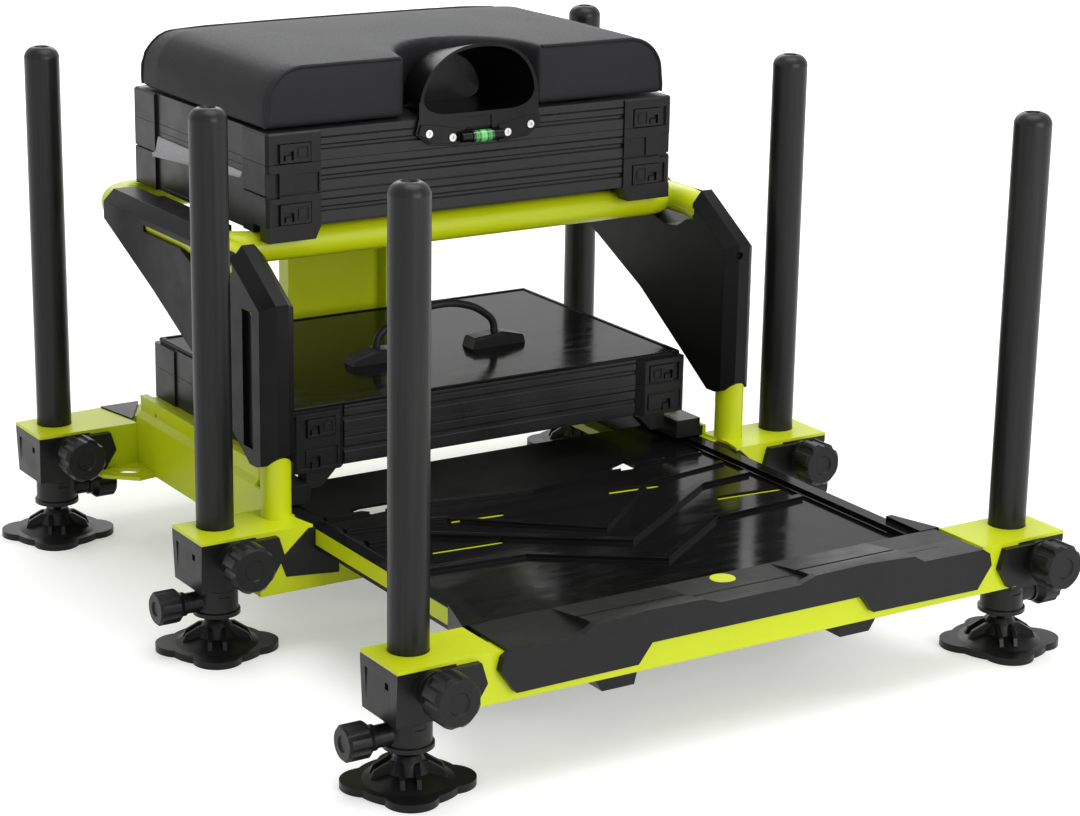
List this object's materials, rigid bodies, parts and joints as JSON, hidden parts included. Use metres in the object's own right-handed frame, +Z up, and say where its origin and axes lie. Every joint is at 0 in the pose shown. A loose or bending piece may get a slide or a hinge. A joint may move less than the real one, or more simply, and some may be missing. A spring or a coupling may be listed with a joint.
{
  "type": "fishing seat box",
  "caption": "Seat box with padded lid, side drawer and sliding lower case, on an adjustable-leg frame with disc feet and a sliding footplate.",
  "frame": {"origin": "on the ground, under the middle of the whole object's outline", "axes": "+X to the right seen from the front, +Y to the back, +Z up; the sitter faces -Y"},
  "size_m": [0.792, 0.9008, 0.5523],
  "materials": {
    "lime_coat": "satin powder coat",
    "black_anodised": "satin black anodised",
    "black_nylon": "fine grained",
    "ribbed_black": "satin",
    "gloss_black": "gloss",
    "grey_lip": "satin light grey",
    "black_vinyl": "fine grained vinyl",
    "green_vial": "clear tinted",
    "zinc_screw": "zinc plated",
    "grip_rubber": "matt"
  },
  "bodies": {
    "chassis": {"chassis_castings": "lime_coat", "chassis_crossbeams": "lime_coat", "chassis_rails": "lime_coat", "chassis_guides": "black_nylon", "chassis_clamp_shells": "black_nylon", "seat_frame": "lime_coat", "side_cover_left": "black_nylon", "side_cover_right": "black_nylon", "back_panel": "lime_coat", "case_shell": "ribbed_black", "case_corners": "black_nylon"},
    "footplate": {"footplate_frame": "lime_coat", "footplate_tread": "gloss_black", "footplate_bumper": "black_nylon", "footplate_slides": "black_nylon", "footplate_clamp_shells": "black_nylon"},
    "seat_lid": {"lid_frame": "ribbed_black", "lid_corners": "black_nylon", "seat_pad": "black_vinyl", "pole_cup": "black_nylon", "bubble_level": "green_vial", "cup_screws": "zinc_screw"},
    "drawer": {"side_drawer": "ribbed_black", "drawer_pull": "grey_lip"},
    "lower_case": {"tray_lower": "ribbed_black", "tray_upper": "ribbed_black", "tray_corners": "black_nylon", "tray_lid": "gloss_black", "handle_mounts": "black_nylon", "carry_handle": "grip_rubber"},
    "case_latch_left": {"case_latch_left": "black_nylon"},
    "lid_latch_left": {"lid_latch_left": "black_nylon"},
    "tray_latch_left": {"tray_latch_left": "black_nylon"},
    "case_latch_right": {"case_latch_right": "black_nylon"},
    "lid_latch_right": {"lid_latch_right": "black_nylon"},
    "tray_latch_right": {"tray_latch_right": "black_nylon"},
    "leg_FL": {"leg_FL": "black_anodised"},
    "foot_FL": {"foot_FL": "black_nylon"},
    "clamp_knob_FL": {"clamp_knob_FL": "black_nylon"},
    "foot_knob_FL": {"foot_knob_FL": "black_nylon"},
    "leg_FR": {"leg_FR": "black_anodised"},
    "foot_FR": {"foot_FR": "black_nylon"},
    "clamp_knob_FR": {"clamp_knob_FR": "black_nylon"},
    "foot_knob_FR": {"foot_knob_FR": "black_nylon"},
    "leg_ML": {"leg_ML": "black_anodised"},
    "foot_ML": {"foot_ML": "black_nylon"},
    "clamp_knob_ML": {"clamp_knob_ML": "black_nylon"},
    "foot_knob_ML": {"foot_knob_ML": "black_nylon"},
    "leg_MR": {"leg_MR": "black_anodised"},
    "foot_MR": {"foot_MR": "black_nylon"},
    "clamp_knob_MR": {"clamp_knob_MR": "black_nylon"},
    "foot_knob_MR": {"foot_knob_MR": "black_nylon"},
    "leg_RL": {"leg_RL": "black_anodised"},
    "foot_RL": {"foot_RL": "black_nylon"},
    "clamp_knob_RL": {"clamp_knob_RL": "black_nylon"},
    "foot_knob_RL": {"foot_knob_RL": "black_nylon"},
    "leg_RR": {"leg_RR": "black_anodised"},
    "foot_RR": {"foot_RR": "black_nylon"},
    "clamp_knob_RR": {"clamp_knob_RR": "black_nylon"},
    "foot_knob_RR": {"foot_knob_RR": "black_nylon"}
  },
  "joints": [
    {"name": "footplate_slide", "type": "slide", "parent": "chassis", "child": "footplate", "axis": [0, 1, 0], "range_m": [0, 0.22]},
    {"name": "seat_lid_hinge", "type": "hinge", "parent": "chassis", "child": "seat_lid", "pos_m": [0, 0.39104, 0.4503], "axis": [-1, 0, 0], "range_deg": [0, 85]},
    {"name": "drawer_slide", "type": "slide", "parent": "chassis", "child": "drawer", "axis": [-1, 0, 0], "range_m": [0, 0.3]},
    {"name": "lower_case_slide", "type": "slide", "parent": "chassis", "child": "lower_case", "axis": [0, -1, 0], "range_m": [0, 0.18]},
    {"name": "case_latch_left_slide", "type": "slide", "parent": "chassis", "child": "case_latch_left", "axis": [-1, 0, 0], "range_m": [0, 0.006]},
    {"name": "lid_latch_left_slide", "type": "slide", "parent": "seat_lid", "child": "lid_latch_left", "axis": [-1, 0, 0], "range_m": [0, 0.006]},
    {"name": "tray_latch_left_slide", "type": "slide", "parent": "lower_case", "child": "tray_latch_left", "axis": [-1, 0, 0], "range_m": [0, 0.006]},
    {"name": "case_latch_right_slide", "type": "slide", "parent": "chassis", "child": "case_latch_right", "axis": [1, 0, 0], "range_m": [0, 0.006]},
    {"name": "lid_latch_right_slide", "type": "slide", "parent": "seat_lid", "child": "lid_latch_right", "axis": [1, 0, 0], "range_m": [0, 0.006]},
    {"name": "tray_latch_right_slide", "type": "slide", "parent": "lower_case", "child": "tray_latch_right", "axis": [1, 0, 0], "range_m": [0, 0.006]},
    {"name": "leg_FL_slide", "type": "slide", "parent": "footplate", "child": "leg_FL", "axis": [0, 0, 1], "range_m": [-0.3, 0]},
    {"name": "clamp_knob_FL_turn", "type": "hinge", "parent": "footplate", "child": "clamp_knob_FL", "pos_m": [-0.332, -0.42536, 0.104], "axis": [0, -1, 0], "continuous": true},
    {"name": "foot_knob_FL_turn", "type": "hinge", "parent": "leg_FL", "child": "foot_knob_FL", "pos_m": [-0.377, -0.36536, 0.051], "axis": [-1, 0, 0], "continuous": true},
    {"name": "foot_FL_tilt", "type": "hinge", "parent": "leg_FL", "child": "foot_FL", "pos_m": [-0.332, -0.36536, 0.0435], "axis": [1, 0, 0], "range_deg": [-18, 18]},
    {"name": "leg_FR_slide", "type": "slide", "parent": "footplate", "child": "leg_FR", "axis": [0, 0, 1], "range_m": [-0.3, 0]},
    {"name": "clamp_knob_FR_turn", "type": "hinge", "parent": "footplate", "child": "clamp_knob_FR", "pos_m": [0.332, -0.42536, 0.104], "axis": [0, -1, 0], "continuous": true},
    {"name": "foot_knob_FR_turn", "type": "hinge", "parent": "leg_FR", "child": "foot_knob_FR", "pos_m": [0.377, -0.36536, 0.051], "axis": [1, 0, 0], "continuous": true},
    {"name": "foot_FR_tilt", "type": "hinge", "parent": "leg_FR", "child": "foot_FR", "pos_m": [0.332, -0.36536, 0.0435], "axis": [1, 0, 0], "range_deg": [-18, 18]},
    {"name": "leg_ML_slide", "type": "slide", "parent": "chassis", "child": "leg_ML", "axis": [0, 0, 1], "range_m": [-0.3, 0]},
    {"name": "clamp_knob_ML_turn", "type": "hinge", "parent": "chassis", "child": "clamp_knob_ML", "pos_m": [-0.332, -0.05436, 0.104], "axis": [0, -1, 0], "continuous": true},
    {"name": "foot_knob_ML_turn", "type": "hinge", "parent": "leg_ML", "child": "foot_knob_ML", "pos_m": [-0.377, 0.00564, 0.051], "axis": [-1, 0, 0], "continuous": true},
    {"name": "foot_ML_tilt", "type": "hinge", "parent": "leg_ML", "child": "foot_ML", "pos_m": [-0.332, 0.00564, 0.0435], "axis": [1, 0, 0], "range_deg": [-18, 18]},
    {"name": "leg_MR_slide", "type": "slide", "parent": "chassis", "child": "leg_MR", "axis": [0, 0, 1], "range_m": [-0.3, 0]},
    {"name": "clamp_knob_MR_turn", "type": "hinge", "parent": "chassis", "child": "clamp_knob_MR", "pos_m": [0.332, -0.05436, 0.104], "axis": [0, -1, 0], "continuous": true},
    {"name": "foot_knob_MR_turn", "type": "hinge", "parent": "leg_MR", "child": "foot_knob_MR", "pos_m": [0.377, 0.00564, 0.051], "axis": [1, 0, 0], "continuous": true},
    {"name": "foot_MR_tilt", "type": "hinge", "parent": "leg_MR", "child": "foot_MR", "pos_m": [0.332, 0.00564, 0.0435], "axis": [1, 0, 0], "range_deg": [-18, 18]},
    {"name": "leg_RL_slide", "type": "slide", "parent": "chassis", "child": "leg_RL", "axis": [0, 0, 1], "range_m": [-0.3, 0]},
    {"name": "clamp_knob_RL_turn", "type": "hinge", "parent": "chassis", "child": "clamp_knob_RL", "pos_m": [-0.332, 0.33464, 0.104], "axis": [0, -1, 0], "continuous": true},
    {"name": "foot_knob_RL_turn", "type": "hinge", "parent": "leg_RL", "child": "foot_knob_RL", "pos_m": [-0.287, 0.39464, 0.051], "axis": [1, 0, 0], "continuous": true},
    {"name": "foot_RL_tilt", "type": "hinge", "parent": "leg_RL", "child": "foot_RL", "pos_m": [-0.332, 0.39464, 0.0435], "axis": [1, 0, 0], "range_deg": [-18, 18]},
    {"name": "leg_RR_slide", "type": "slide", "parent": "chassis", "child": "leg_RR", "axis": [0, 0, 1], "range_m": [-0.3, 0]},
    {"name": "clamp_knob_RR_turn", "type": "hinge", "parent": "chassis", "child": "clamp_knob_RR", "pos_m": [0.332, 0.33464, 0.104], "axis": [0, -1, 0], "continuous": true},
    {"name": "foot_knob_RR_turn", "type": "hinge", "parent": "leg_RR", "child": "foot_knob_RR", "pos_m": [0.377, 0.39464, 0.051], "axis": [1, 0, 0], "continuous": true},
    {"name": "foot_RR_tilt", "type": "hinge", "parent": "leg_RR", "child": "foot_RR", "pos_m": [0.332, 0.39464, 0.0435], "axis": [1, 0, 0], "range_deg": [-18, 18]}
  ]
}
